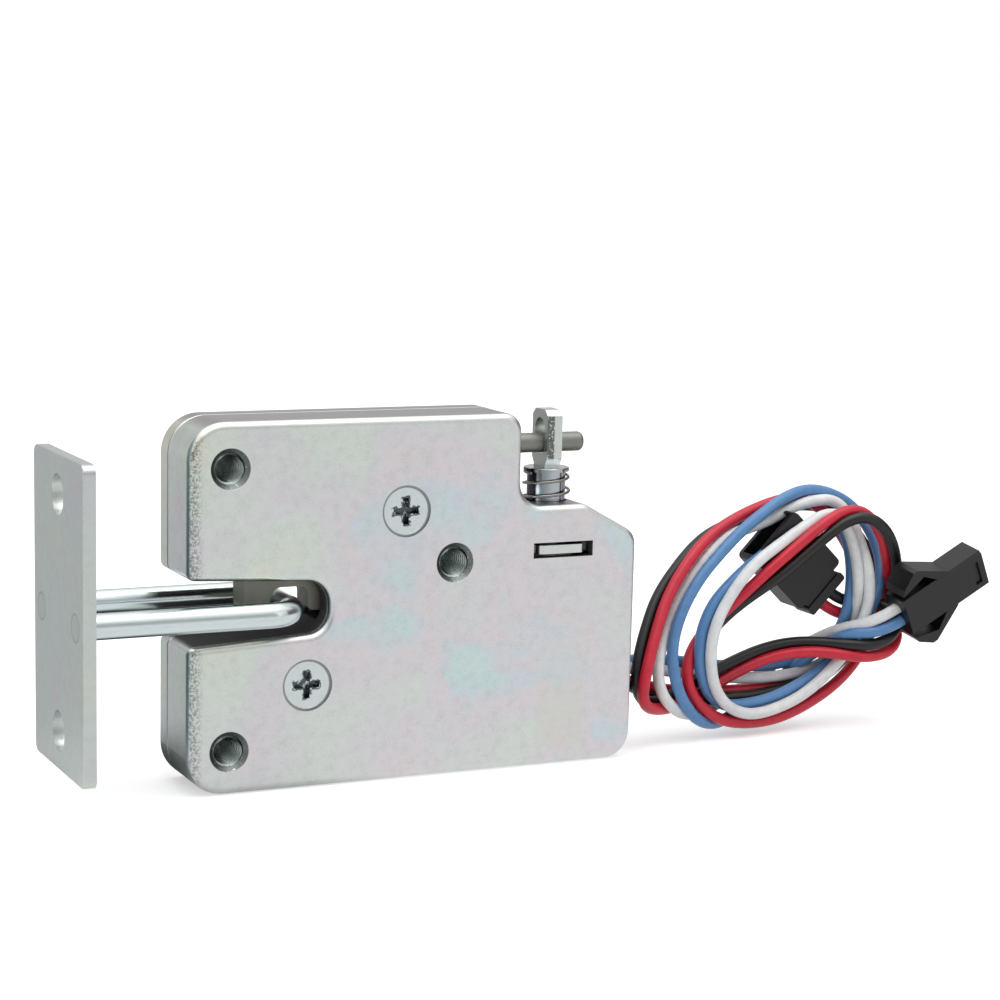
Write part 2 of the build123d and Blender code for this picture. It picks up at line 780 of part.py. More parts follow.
def squeeze_arm(side):
    """Lever beside the plug: it rises from the body and bends back to it at the lead end."""
    base = side * plug_width / 2
    root = plug_arm_length
    crest = plug_arm_crest
    rise = side * plug_arm_rise
    inner = side * (plug_arm_rise - plug_arm_thickness)
    outline = Polyline(
        (root, base - side * 0.2),
        (root, base),
        (crest, base + rise),
        (crest - 1.0, base + rise),
        (0.9, base + rise / 2),
        (0.4, base + side * 0.8),
        (crest + 0.8, base + inner),
        (root - 2.6, base - side * 0.2),
        close=True,
    )
    return between(Plane.XZ * make_face(outline), -housing_depth / 2 + 0.3, housing_depth / 2 - 0.3)


def plug_housing():
    """Plug housing with a squeeze arm on each side, open at its mating end."""
    y_half, z_half = housing_depth / 2, plug_width / 2
    body = block((0, plug_length), (-y_half, y_half), (-z_half, z_half))
    body = chamfer(body.edges().filter_by(Axis.X), housing_bevel)
    body += squeeze_arm(1)
    body += squeeze_arm(-1)
    mouth_start = plug_length - plug_mouth
    body -= block((mouth_start, plug_length + 1), (housing_wall - y_half, y_half - housing_wall),
                  (housing_wall - z_half, z_half - housing_wall))
    length, width, depth = plug_window
    window_end = plug_length - 1.2
    body -= block((window_end - length, window_end), (-y_half - 1, depth - y_half), (-width / 2, width / 2))
    return bored_for_leads(body, mouth_start)


def receptacle_housing():
    """Wider shrouded housing with a neck and a bar at its lead end."""
    y_half, z_half = housing_depth / 2, receptacle_width / 2
    shroud_start = receptacle_bar + receptacle_neck
    shroud = block((shroud_start, receptacle_length), (-y_half, y_half), (-z_half, z_half))
    body = fillet(shroud.edges().filter_by(Axis.Y), 0.9)
    body += block((receptacle_bar - 0.1, shroud_start + 1), (0.6 - y_half, y_half - 0.6),
                  (-receptacle_neck_width / 2, receptacle_neck_width / 2))
    bar = block((0, receptacle_bar), (0.3 - y_half, y_half - 0.3),
                (-receptacle_bar_width / 2, receptacle_bar_width / 2))
    body += fillet(bar.edges().filter_by(Axis.Y), 0.5)
    mouth_start = receptacle_length - receptacle_mouth
    body -= block((mouth_start, receptacle_length + 1), (housing_wall - y_half, y_half - housing_wall),
                  (housing_wall - z_half, z_half - housing_wall))
    return bored_for_leads(body, mouth_start)


def contacts(length, mouth):
    """Two contact pins that stand out of a housing's web into its mouth."""
    start = length - mouth - contact_seat
    return [along_x(0, side * contact_spacing / 2, contact_radius, start, start + contact_seat + contact_length)
            for side in (-1, 1)]


def striker_plate():
    """Flat plate with two fixing holes and the two holes that the rod is peened in."""
    half = plate_width / 2
    middle = rod_height + plate_above_rod
    low = middle - plate_height / 2
    plate = block((striker_left, striker_left + plate_thickness), (-half, half), (low, low + plate_height))
    plate = fillet(plate.edges().filter_by(Axis.X), plate_corner_radius)
    plate = fillet(plate.edges().group_by(Axis.X)[0], 0.3)
    for side in (-1, 1):
        z = middle + side * plate_hole_spacing / 2
        plate -= along_x(0, z, plate_hole_radius, striker_left - 1, striker_left + plate_thickness + 1)
        y = side * rod_leg_spacing / 2
        plate -= along_x(y, rod_height, rod_radius + fit_gap / 2, striker_left - 1,
                         striker_left + plate_thickness + 1)
    return plate


def striker_rod():
    """Round bar bent into a U, its ends flush with the plate's outer face."""
    y = rod_leg_spacing / 2
    path = FilletPolyline(
        (striker_left, -y, rod_height),
        (rod_bend_x, -y, rod_height),
        (rod_bend_x, y, rod_height),
        (striker_left, y, rod_height),
        radius=rod_corner_radius,
    )
    return sweep(Plane(path @ 0, z_dir=(1, 0, 0)) * Circle(rod_radius), path=path)


def all_pieces():
    """Every piece by its node's name, each as a list of solids."""
    lead_solids = leads()
    pieces = {
        "front_shell": [front_shell()],
        "back_shell": [back_shell()],
        "case_screws": case_screws(),
        "latch": [latch()],
        "latch_pin": [pivot_pin(latch_x, latch_z)],
        "latch_spring": [torsion_spring(latch_x, latch_z, 200)],
        "release_lever": [release_lever()],
        "lever_pin": [pivot_pin(lever_x, lever_z)],
        "lever_spring": [torsion_spring(lever_x, lever_z, 90)],
        "release_rod": [release_rod()],
        "solenoid_yoke": [yoke()],
        "coil_bobbin": [bobbin()],
        "coil_winding": [coil_winding()],
        "pole_piece": [pole_piece()],
        "plunger": [plunger()],
        "eye_plate": [eye_plate()],
        "return_spring": [return_spring()],
        "switch_body": [switch_body()],
        "switch_button": [switch_button()],
        "switch_terminals": switch_terminals(),
        "lead_grommet": [lead_grommet()],
        "lead_coil": [lead_coil()],
        "plug_housing": [plug_location() * plug_housing()],
        "plug_contacts": [plug_location() * pin for pin in contacts(plug_length, plug_mouth)],
        "receptacle_housing": [receptacle_location() * receptacle_housing()],
        "receptacle_contacts": [
            receptacle_location() * pin for pin in contacts(receptacle_length, receptacle_mouth)
        ],
        "striker_plate": [striker_plate()],
        "striker_rod": [striker_rod()],
    }
    for colour, solids in lead_solids.items():
        pieces["lead_" + colour] = solids
    return pieces


centre = Pos(-(case_length + striker_left) / 2, 0, 0)
for name, solids in all_pieces().items():
    placed = [centre * solid for solid in solids]
    shape = placed[0] if len(placed) == 1 else Compound(children=placed)
    export_step(shape, f"parts/{name}.step")
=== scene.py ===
import math

import bpy
from mathutils import Matrix, Vector


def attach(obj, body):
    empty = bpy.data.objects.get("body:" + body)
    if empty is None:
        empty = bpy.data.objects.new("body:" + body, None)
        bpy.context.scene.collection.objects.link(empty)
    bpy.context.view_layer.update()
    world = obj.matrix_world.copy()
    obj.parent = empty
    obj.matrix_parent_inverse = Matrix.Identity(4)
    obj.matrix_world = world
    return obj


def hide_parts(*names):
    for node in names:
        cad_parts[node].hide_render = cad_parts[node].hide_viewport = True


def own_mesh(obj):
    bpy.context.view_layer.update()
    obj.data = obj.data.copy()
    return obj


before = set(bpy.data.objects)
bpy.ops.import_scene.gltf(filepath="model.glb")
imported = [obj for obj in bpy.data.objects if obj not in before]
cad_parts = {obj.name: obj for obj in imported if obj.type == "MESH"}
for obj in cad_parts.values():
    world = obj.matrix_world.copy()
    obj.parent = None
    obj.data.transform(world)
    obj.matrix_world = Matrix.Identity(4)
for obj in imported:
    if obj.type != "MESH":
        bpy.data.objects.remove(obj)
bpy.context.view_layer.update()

# The case: two zinc die castings, a deep front half and a shallow back half that close on a
# line near the back. Both are plated and passivated, which leaves a thin clear film that
# shows as drifting pale green, lilac and blue. The mounting threads are tapped afterwards.


def add_node(tree, kind, inputs=None, **settings):
    """One shader node with its settings, and its inputs as values or as other nodes' outputs."""
    node = tree.nodes.new(kind)
    for name, value in settings.items():
        setattr(node, name, value)
    for name, value in (inputs or {}).items():
        if isinstance(value, bpy.types.NodeSocket):
            tree.links.new(value, node.inputs[name])
        else:
            node.inputs[name].default_value = value
    return node


def calc(tree, operation, first, second=0.0, clamp=False):
    """Output of a sum on one or two values."""
    node = add_node(tree, "ShaderNodeMath", {0: first, 1: second}, operation=operation, use_clamp=clamp)
    return node.outputs[0]


def product(tree, first, *others):
    """Output of several values multiplied together."""
    for other in others:
        first = calc(tree, "MULTIPLY", first, other)
    return first


def scaled(tree, value, factor, start):
    """A value times a factor, on top of a start."""
    return calc(tree, "ADD", start, calc(tree, "MULTIPLY", value, factor))


def swing(tree, value, width):
    """A value from 0 to 1, turned into a swing of this width to both sides of zero."""
    return calc(tree, "MULTIPLY", calc(tree, "SUBTRACT", value, 0.5), width)


def off_middle(tree, value, middle):
    """How far a value is from a middle, to either side."""
    return calc(tree, "ABSOLUTE", calc(tree, "SUBTRACT", value, middle))


def vector_calc(tree, operation, first, second=(0.0, 0.0, 0.0)):
    """Output of a sum on vectors: a vector, or a value where the sum gives one."""
    node = add_node(tree, "ShaderNodeVectorMath", {0: first, 1: second}, operation=operation)
    return node.outputs["Value" if operation in ("DISTANCE", "DOT_PRODUCT", "LENGTH") else "Vector"]


def split_xyz(tree, vector):
    """X, Y and Z of a vector, by name."""
    return add_node(tree, "ShaderNodeSeparateXYZ", {0: vector}).outputs


def place_on(tree):
    """Place of the surface in the lock's own frame."""
    return add_node(tree, "ShaderNodeTexCoord").outputs["Object"]


def facing_on(tree):
    """X, Y and Z of the way that the surface faces."""
    return split_xyz(tree, add_node(tree, "ShaderNodeNewGeometry").outputs["Normal"])


def from_axis(tree, across, upright, axis_across, axis_upright):
    """Distance from an axis, seen along it."""
    flat = add_node(tree, "ShaderNodeCombineXYZ", {0: across, 2: upright}).outputs[0]
    return vector_calc(tree, "DISTANCE", flat, (axis_across, 0.0, axis_upright))


def noise(tree, place, scale, detail=2.0, roughness=0.5, distortion=0.0):
    """Smooth random value about 0.5, with finer detail on it."""
    return add_node(tree, "ShaderNodeTexNoise", {
        "Vector": place, "Scale": scale, "Detail": detail, "Roughness": roughness,
        "Distortion": distortion}).outputs[0]


def soft_step(tree, value, low, high):
    """0 below low, 1 above high and smooth between; low above high turns it round."""
    return add_node(tree, "ShaderNodeMapRange", {0: value, 1: low, 2: high},
                    interpolation_type="SMOOTHSTEP").outputs[0]


def within(tree, where, middle, half, blur):
    """1 inside a rectangle seen from the front, 0 outside it, with a soft edge."""
    return product(tree, *(soft_step(tree, off_middle(tree, where[side], middle[number]),
                                     half[number] + blur, half[number] - blur)
                           for number, side in enumerate("XZ")))


def blend_colours(tree, share, first, second, way="MIX"):
    """Colour between two colours, by a share."""
    return add_node(tree, "ShaderNodeMix", {0: share, 6: first, 7: second}, data_type="RGBA",
                    blend_type=way).outputs[2]


def stain(tree, colour, mask, strength, other):
    """A colour with another one over it where a mask lets it show."""
    return blend_colours(tree, calc(tree, "MULTIPLY", mask, strength), colour, (*other, 1))


def colour_steps(tree, value, steps):
    """Colour that follows a value through a list of places and colours or greys."""
    node = add_node(tree, "ShaderNodeValToRGB", {0: value})
    marks = node.color_ramp.elements
    while len(marks) < len(steps):
        marks.new(0.5)
    for mark, (place, colour) in zip(marks, steps):
        mark.position = place
        mark.color = (*colour, 1) if isinstance(colour, tuple) else (colour, colour, colour, 1)
    return node.outputs[0]


def new_effect(name, inputs, outputs):
    """Shader node group with named inputs and outputs, to be filled with nodes."""
    group = bpy.data.node_groups.new(name, "ShaderNodeTree")
    for label, value in inputs.items():
        kind = "NodeSocketColor" if isinstance(value, tuple) else "NodeSocketFloat"
        socket = group.interface.new_socket(label, in_out="INPUT", socket_type=kind)
        socket.default_value = value
    for label in outputs:
        kind = "NodeSocketColor" if label.endswith("colour") else "NodeSocketFloat"
        group.interface.new_socket(label, in_out="OUTPUT", socket_type=kind)
    return group, add_node(group, "NodeGroupInput").outputs, add_node(group, "NodeGroupOutput")


def use_effect(tree, effect, **inputs):
    """The outputs of an effect placed in a material, with its own values."""
    named = {label.replace("_", " "): value for label, value in inputs.items()}
    return add_node(tree, "ShaderNodeGroup", named, node_tree=bpy.data.node_groups[effect]).outputs


def new_material(name, **constants):
    """Material with its Principled shader, whose plain values are set straight on it."""
    material = bpy.data.materials.new(name)
    material.use_nodes = True
    tree = material.node_tree
    shader = tree.nodes["Principled BSDF"]
    for label, value in constants.items():
        shader.inputs[label.replace("_", " ")].default_value = value
    return material, tree, shader


def feed(tree, shader, colour, rough):
    """Gives the shader a colour and a roughness that change over the surface."""
    tree.links.new(colour, shader.inputs["Base Color"])
    tree.links.new(rough, shader.inputs["Roughness"])


def bump(tree, shader, height, distance, strength):
    """Lets a height, in shares of a distance in metres, dent the surface."""
    node = add_node(tree, "ShaderNodeBump", {"Height": height, "Distance": distance,
                                             "Strength": strength})
    tree.links.new(node.outputs[0], shader.inputs["Normal"])


def finish_node(node, material):
    """Gives a CAD node its material."""
    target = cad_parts[node].data.materials
    target.clear()
    target.append(material)


# grain of a cast, ground or rolled face: a fine pitting with a slower drift under it
effect, given, made = new_effect("metal grain", {"Size": 0.0004, "Stretch X": 1.0, "Stretch Z": 1.0},
                                 ["Shade", "Height"])
stretch = add_node(effect, "ShaderNodeCombineXYZ", {0: given["Stretch X"], 1: 1.0,
                                                    2: given["Stretch Z"]})
stretched = vector_calc(effect, "MULTIPLY", place_on(effect), stretch.outputs[0])
fineness = calc(effect, "DIVIDE", 1.0, given["Size"])
pitting = noise(effect, stretched, fineness, 3.0, 0.6)
slow_drift = noise(effect, stretched, calc(effect, "MULTIPLY", fineness, 0.17))
both = scaled(effect, pitting, 0.6, calc(effect, "MULTIPLY", slow_drift, 0.4))
effect.links.new(both, made.inputs["Shade"])
effect.links.new(pitting, made.inputs["Height"])

# thin clear film over plated zinc: its thickness drifts, and so does its faint colour
film_tints = [
    (0.0, (0.90, 0.89, 0.77)), (0.2, (0.81, 0.89, 0.81)), (0.36, (0.82, 0.87, 0.83)),
    (0.5, (0.83, 0.82, 0.86)), (0.6, (0.87, 0.81, 0.84)), (0.7, (0.78, 0.83, 0.89)),
    (0.82, (0.71, 0.89, 0.90)), (1.0, (0.79, 0.90, 0.81))]
patch_swing = 1.5
speck_swing = 0.16
effect, given, made = new_effect(
    "passivate film",
    {"Metal colour": (0.7, 0.7, 0.7, 1), "Film": 0.6, "Place": 0.3, "Patch": 0.02, "Shift": 0.0},
    ["Film colour"])
moved = vector_calc(effect, "ADD", place_on(effect), given["Shift"])
patches = noise(effect, moved, calc(effect, "DIVIDE", 1.0, given["Patch"]), 3.5, 0.5, 0.4)
specks = noise(effect, moved, 900.0, 2.0, 0.7)
thickness = calc(effect, "ADD", given["Place"], swing(effect, patches, patch_swing))
thickness = calc(effect, "ADD", thickness, swing(effect, specks, speck_swing), clamp=True)
shown = blend_colours(effect, given["Film"], given["Metal colour"],
                      colour_steps(effect, thickness, film_tints))
effect.links.new(shown, made.inputs["Film colour"])

# places on the case; the middles, the bores and the screws are given across and upright
slot_level = 0.0286
window_middle = (0.0341, 0.03565)
window_half = (0.0056, 0.0015)
screw_middles = [(0.0064, 0.0431), (-0.0099, 0.0164)]
screw_seam_radius = 0.0039
thread_places = [(-0.0227, 0.0508), (-0.0227, 0.0068), (0.0149, 0.0345)]
panel_middle = (0.0342, 0.0177)
panel_half = (0.0043, 0.0147)
# where a change of finish starts and where it is complete
film_drift_x = (-0.018, 0.018)
slot_walls_off_level = (0.0060, 0.0055)
slot_walls_mouth_x = (-0.0292, -0.0278)
slot_walls_end_x = (-0.0056, -0.0062)
slot_walls_y = (-0.0061, -0.0053)
window_walls_front_y = (-0.00698, -0.0068)
window_walls_back_y = (-0.0040, -0.0045)
speckle_x = (-0.0266, -0.0286)
speckle_y = (-0.0058, -0.0066)
countersink_shade_radius = (0.00325, 0.00312)
seam_y = (-0.0060, -0.0066)
panel_y = (-0.0066, -0.0069)
panel_warmth_z = (0.028, 0.004)


def painted_edge_light(tree, colour, facing):
    """The case's colour with painted highlight, reflection and shade where its faces turn away from the
    front.
    """
    # painted shade darkens and browns the top faces; the front edges that look upward get a painted
    # highlight
    colour = stain(tree, colour, soft_step(tree, facing["Z"], 0.75, 0.98), 0.85, (0.40, 0.37, 0.38))
    upward_edge_highlight = product(tree, soft_step(tree, facing["Z"], 0.2, 0.55),
                     soft_step(tree, facing["Y"], -0.15, -0.35))
    colour = stain(tree, colour, upward_edge_highlight, 0.5, (0.95, 0.95, 0.87))
    # painted reflection and shade on the rounded edges: teal at the slotted end, dark brown at the other
    rounded = soft_step(tree, off_middle(tree, facing["Y"], -0.40), 0.34, 0.16)
    slotted_end_reflection = product(tree, rounded, soft_step(tree, facing["X"], -0.55, -0.85))
    lead_end_shade = product(tree, rounded, soft_step(tree, facing["X"], 0.55, 0.85))
    colour = stain(tree, colour, slotted_end_reflection, 0.75, (0.13, 0.26, 0.31))
    return stain(tree, colour, lead_end_shade, 0.8, (0.12, 0.085, 0.08))


def painted_shade_walls(tree, where):
    """Walls of the slot and of the window, where painted shade darkens the recess."""
    slot = product(tree, soft_step(tree, where["Y"], *slot_walls_y),
                   soft_step(tree, where["X"], *slot_walls_end_x),
                   soft_step(tree, where["X"], *slot_walls_mouth_x),
                   soft_step(tree, off_middle(tree, where["Z"], slot_level), *slot_walls_off_level))
    window = product(tree, within(tree, where, window_middle, window_half, 0.0001),
                     soft_step(tree, where["Y"], *window_walls_front_y),
                     soft_step(tree, where["Y"], *window_walls_back_y))
    return calc(tree, "MAXIMUM", slot, window)


def pits_and_painted_hole_shade(tree, colour, place, where, facing):
    """The case's colour, darkened by pits, by painted shade round the bores and by dirt."""
    # coarse dark speckle on the rounded edge at the slotted end
    pits = noise(tree, place, 2600.0, 4.0, 0.7)
    speckle = product(tree, soft_step(tree, where["X"], *speckle_x),
                      soft_step(tree, facing["Y"], -0.45, -0.8),
                      soft_step(tree, where["Y"], *speckle_y), soft_step(tree, pits, 0.42, 0.60))
    colour = stain(tree, colour, speckle, 0.75, (0.15, 0.16, 0.16))
    # painted shade of a countersink: the inner half of a ring round each bore's mouth is painted dark
    # and pitted
    for x, z in thread_places:
        near = soft_step(tree, from_axis(tree, where["X"], where["Z"], x, z), *countersink_shade_radius)
        turns = product(tree, near, soft_step(tree, pits, 0.30, 0.42))
        colour = stain(tree, colour, turns, 0.85, (0.07, 0.095, 0.09))
    # dirt in the seam round each screw's head
    for x, z in screw_middles:
        off_seam = off_middle(tree, from_axis(tree, where["X"], where["Z"], x, z), screw_seam_radius)
        seam = product(tree, soft_step(tree, off_seam, 0.0003, 0.0001),
                       soft_step(tree, where["Y"], *seam_y))
        colour = stain(tree, colour, seam, 0.7, (0.13, 0.14, 0.14))
    return colour


def zinc_casting(name, shift, start, end, panel=False):
    """Plated zinc casting; its film drifts from one thickness at the slot to another at the leads."""
    material, tree, shader = new_material(name, Metallic=1.0)
    place = place_on(tree)
    where = split_xyz(tree, place)
    facing = facing_on(tree)
    drifted = scaled(tree, soft_step(tree, where["X"], *film_drift_x), end - start, start)
    film = use_effect(tree, "passivate film", Metal_colour=(0.80, 0.83, 0.79, 1), Film=0.9,
                      Place=drifted, Patch=0.019, Shift=shift)
    grain = use_effect(tree, "metal grain", Size=0.00022)
    shade = colour_steps(tree, grain["Shade"], [(0.32, 0.84), (0.5, 0.96), (0.66, 1.0)])
    colour = blend_colours(tree, 1.0, film["Film colour"], shade, "MULTIPLY")
    # painted highlight, reflection and shade on the case's edges and top
    colour = painted_edge_light(tree, colour, facing)
    # painted shade: the slot's and window's walls are painted near black, less metallic and rougher
    wall_shade = painted_shade_walls(tree, where)
    colour = stain(tree, colour, wall_shade, 0.96, (0.022, 0.022, 0.024))
    tree.links.new(scaled(tree, wall_shade, -0.9, 1.0), shader.inputs["Metallic"])
    colour = pits_and_painted_hole_shade(tree, colour, place, where, facing)
    height = grain["Height"]
    if panel:
        # faint raised panel below the window, on the front face alone
        raised = product(tree, within(tree, where, panel_middle, panel_half, 0.0002),
                         soft_step(tree, where["Y"], *panel_y))
        warm = product(tree, raised, soft_step(tree, where["Z"], *panel_warmth_z))
        colour = stain(tree, colour, warm, 0.35, (0.78, 0.76, 0.66))
        height = scaled(tree, raised, 1.6, height)
    rough = scaled(tree, grain["Shade"], 0.12, 0.30)
    feed(tree, shader, colour, scaled(tree, wall_shade, 0.35, rough))
    bump(tree, shader, height, 0.00003, 0.5)
    return material


finish_node("front_shell", zinc_casting("plated front casting", 0.31, 0.32, 0.62, panel=True))
finish_node("back_shell", zinc_casting("plated back casting", 0.93, 0.20, 0.40))

# tapped threads, cut into the three mounting bores
thread_radius = 0.00252
thread_depth = 0.00042
thread_pitch = 0.0008
thread_from = -0.0062
thread_to = 0.0069
thread_steepness = 2.6
thread_fullness = 1.4
thread_sides = 56
thread_rows = 150


def add_piece(name, shape):
    """Puts a mesh, a curve, a lamp or a lens into the scene."""
    piece = bpy.data.objects.new(name, shape)
    bpy.context.scene.collection.objects.link(piece)
    return piece


def tapped_thread(name, x, z):
    """Inside of a threaded bore: a wall whose radius follows the thread's turns."""
    points, faces = [], []
    for row in range(thread_rows + 1):
        y = thread_from + (thread_to - thread_from) * row / thread_rows
        for step in range(thread_sides):
            angle = 2 * math.pi * step / thread_sides
            turn = (y / thread_pitch + step / thread_sides) % 1.0
            crest = max(0.0, 1.0 - abs(turn - 0.5) * thread_steepness)
            radius = thread_radius - thread_depth * min(1.0, crest * thread_fullness)
            points.append((x + radius * math.cos(angle), y, z + radius * math.sin(angle)))
    for row in range(thread_rows):
        for step in range(thread_sides):
            beside = (step + 1) % thread_sides
            low, high = row * thread_sides, (row + 1) * thread_sides
            faces.append((low + step, low + beside, high + beside, high + step))
    mesh = bpy.data.meshes.new(name)
    mesh.from_pydata(points, [], faces)
    mesh.flip_normals()
    mesh.shade_smooth()
    return add_piece(name, mesh)


tapped_zinc, tree, shader = new_material("tapped zinc", Metallic=1.0)
grain = use_effect(tree, "metal grain", Size=0.00012)
feed(tree, shader,
     colour_steps(tree, grain["Shade"], [(0.3, (0.26, 0.31, 0.30)), (0.6, (0.46, 0.53, 0.50))]),
     scaled(tree, grain["Shade"], 0.25, 0.16))
bump(tree, shader, grain["Height"], 0.00003, 0.4)
for number, (x, z) in enumerate(thread_places, 1):
    thread = tapped_thread(f"mounting_thread_{number}", x, z)
    thread.data.materials.append(tapped_zinc)
    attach(thread, "case")

# Solenoid: a bent steel yoke round a moulded bobbin with its copper winding and a fixed
# core at the bottom. It drops into ribs of the front casting; the yoke's top flange has a
# tab that ends in the window of the front face.


def plated_steel(name, colour, rough, film=0.35, size=0.0003, stretch_x=1.0, stretch_z=1.0, dent=0.35,
                 shift=0.0):
    """Zinc plated steel, rolled, ground or drawn."""
    material, tree, shader = new_material(name, Metallic=1.0)
    coat = use_effect(tree, "passivate film", Metal_colour=(*colour, 1), Film=film, Place=0.3,
                      Patch=0.012, Shift=shift)
    grain = use_effect(tree, "metal grain", Size=size, Stretch_X=stretch_x, Stretch_Z=stretch_z)
    shade = colour_steps(tree, grain["Shade"], [(0.3, 0.86), (0.5, 0.97), (0.7, 1.0)])
    feed(tree, shader, blend_colours(tree, 1.0, coat["Film colour"], shade, "MULTIPLY"),
         scaled(tree, grain["Shade"], 0.1, rough - 0.04))
    bump(tree, shader, grain["Height"], 0.00002, dent)
    return material


def moulded_plastic(name, colour, rough=0.42, size=0.0003, dent=0.25):
    """Moulded nylon, polyester or rubber with a fine spark-eroded skin."""
    material, tree, shader = new_material(name)
    grain = use_effect(tree, "metal grain", Size=size)
    dark = tuple(c * 0.86 for c in colour)
    feed(tree, shader, colour_steps(tree, grain["Shade"], [(0.3, dark), (0.65, colour)]),
         scaled(tree, grain["Shade"], 0.14, rough - 0.06))
    bump(tree, shader, grain["Height"], 0.00002, dent)
    return material


finish_node("solenoid_yoke", plated_steel("plated yoke strip", (0.78, 0.80, 0.78), 0.28, shift=0.2))
finish_node("pole_piece", plated_steel("turned soft iron", (0.62, 0.62, 0.62), 0.35, film=0.0,
                                       size=0.0002, stretch_z=8.0))
finish_node("coil_bobbin", moulded_plastic("natural nylon", (0.72, 0.70, 0.62)))

enamelled_wire, tree, shader = new_material("enamelled winding", Metallic=1.0, Coat_Weight=0.6,
                                            Coat_Roughness=0.12)
wires = add_node(tree, "ShaderNodeTexWave", {
    "Vector": place_on(tree), "Scale": 640.0, "Distortion": 0.6, "Detail": 1.0, "Detail Scale": 0.4},
    bands_direction="Z").outputs[0]
feed(tree, shader, colour_steps(tree, wires, [(0.0, (0.28, 0.09, 0.03)), (0.7, (0.83, 0.36, 0.16))]),
     scaled(tree, wires, 0.1, 0.2))
bump(tree, shader, wires, 0.00012, 0.8)
finish_node("coil_winding", enamelled_wire)

# Plunger: a ground and plated steel core with a thin collar, and a steel eye plate riveted
# into its head for release by hand. A conical wire spring stands between the case and the
# collar and lifts them.


def reopen(material):
    """A finished material's tree, its shader and the colour that it has so far."""
    tree = material.node_tree
    shader = tree.nodes["Principled BSDF"]
    return tree, shader, shader.inputs["Base Color"].links[0].from_socket


# painted reflections: dark and bright bands by the way the surface faces, with a painted highlight
painted_reflection_bands = [
    (0.07, (0.07, 0.07, 0.08)), (0.09, (1.0, 1.0, 1.0)), (0.115, (0.95, 1.0, 1.0)),
    (0.15, (0.36, 0.40, 0.41)), (0.30, (0.56, 0.62, 0.62)), (0.45, (0.86, 0.87, 0.90)),
    (0.645, (0.86, 0.86, 0.89)), (0.67, (0.16, 0.15, 0.17)), (0.70, (0.16, 0.15, 0.17)),
    (0.735, (0.72, 0.68, 0.72))]
ground_steel = plated_steel("ground plunger", (0.58, 0.61, 0.64), 0.12, film=0.1, size=0.0001,
                            stretch_z=16.0, dent=0.25, shift=0.5)
tree, shader, ground = reopen(ground_steel)
# painted reflection bands, multiplied over the ground steel's colour
reflection_bands = colour_steps(tree, scaled(tree, facing_on(tree)["X"], 0.5, 0.5), painted_reflection_bands)
tree.links.new(blend_colours(tree, 1.0, ground, reflection_bands, "MULTIPLY"), shader.inputs["Base Color"])
finish_node("plunger", ground_steel)

# the shear tore half of the plate's edge and left it dark and pitted; the faces that look towards the
# slotted end get painted shade
torn_half_x = (0.0342, 0.0339)
torn_edge_y = (-0.0024, -0.0026)
sheared_steel = plated_steel("sheared eye plate", (0.70, 0.73, 0.70), 0.27, film=0.3, size=0.00035,
                             dent=0.6, shift=0.7)
tree, shader, plated = reopen(sheared_steel)
place = place_on(tree)
where = split_xyz(tree, place)
facing = facing_on(tree)
torn = product(tree, soft_step(tree, where["X"], *torn_half_x),
               soft_step(tree, facing["Y"], -0.8, -0.95), soft_step(tree, where["Y"], *torn_edge_y),
               soft_step(tree, noise(tree, place, 2600.0), 0.34, 0.46))
# painted shade on the faces that look towards the slotted end
plated = stain(tree, plated, soft_step(tree, facing["X"], -0.6, -0.9), 0.6, (0.26, 0.27, 0.24))
tree.links.new(stain(tree, plated, torn, 0.85, (0.05, 0.07, 0.075)), shader.inputs["Base Color"])
finish_node("eye_plate", sheared_steel)

spring_middle_x = 0.0341
spring_bottom = 0.04318
spring_top = 0.04745
spring_turns = 2.5
spring_start_angle = 0.4
spring_flat_share = 0.12
spring_wire = 0.00025
spring_radii = (0.0039, 0.00352)
spring_steps = 160


def wire_along(name, points, radius, sides=10):
    """Round wire bent along points, closed at both ends."""
    rings, across = [], None
    for number, point in enumerate(points):
        ahead = points[min(number + 1, len(points) - 1)] - points[max(number - 1, 0)]
        ahead.normalize()
        if across is None:
            across = ahead.orthogonal().normalized()
        across = (across - ahead * across.dot(ahead)).normalized()
        beside = ahead.cross(across)
        rings.append([point + (across * math.cos(a) + beside * math.sin(a)) * radius
                      for a in (2 * math.pi * n / sides for n in range(sides))])
    verts = [v for ring in rings for v in ring]
    faces = [(r * sides + n, r * sides + (n + 1) % sides, (r + 1) * sides + (n + 1) % sides,
              (r + 1) * sides + n) for r in range(len(rings) - 1) for n in range(sides)]
    faces += [tuple(range(sides))[::-1], tuple(range((len(rings) - 1) * sides, len(rings) * sides))]
    mesh = bpy.data.meshes.new(name)
    mesh.from_pydata(verts, [], faces)
    mesh.shade_smooth()
    return add_piece(name, mesh)


turns = []
for step in range(spring_steps + 1):
    share = step / spring_steps
    angle = 2 * math.pi * spring_turns * share + spring_start_angle
    radius = spring_radii[0] + (spring_radii[1] - spring_radii[0]) * share
    # both ends of the wire lie flat
    climb = min(max((share - spring_flat_share) / (1.0 - 2 * spring_flat_share), 0.0), 1.0)
    turns.append(Vector((spring_middle_x + radius * math.cos(angle), radius * math.sin(angle),
                         spring_bottom + (spring_top - spring_bottom) * climb)))
return_spring = wire_along("plunger_return_spring", turns, spring_wire)
spring_finish = plated_steel("hard drawn spring wire", (0.20, 0.19, 0.17), 0.22, film=0.2, size=0.0001,
                             dent=0.3)
return_spring.data.materials.append(spring_finish)
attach(return_spring, "case")
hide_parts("return_spring")
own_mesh(return_spring)

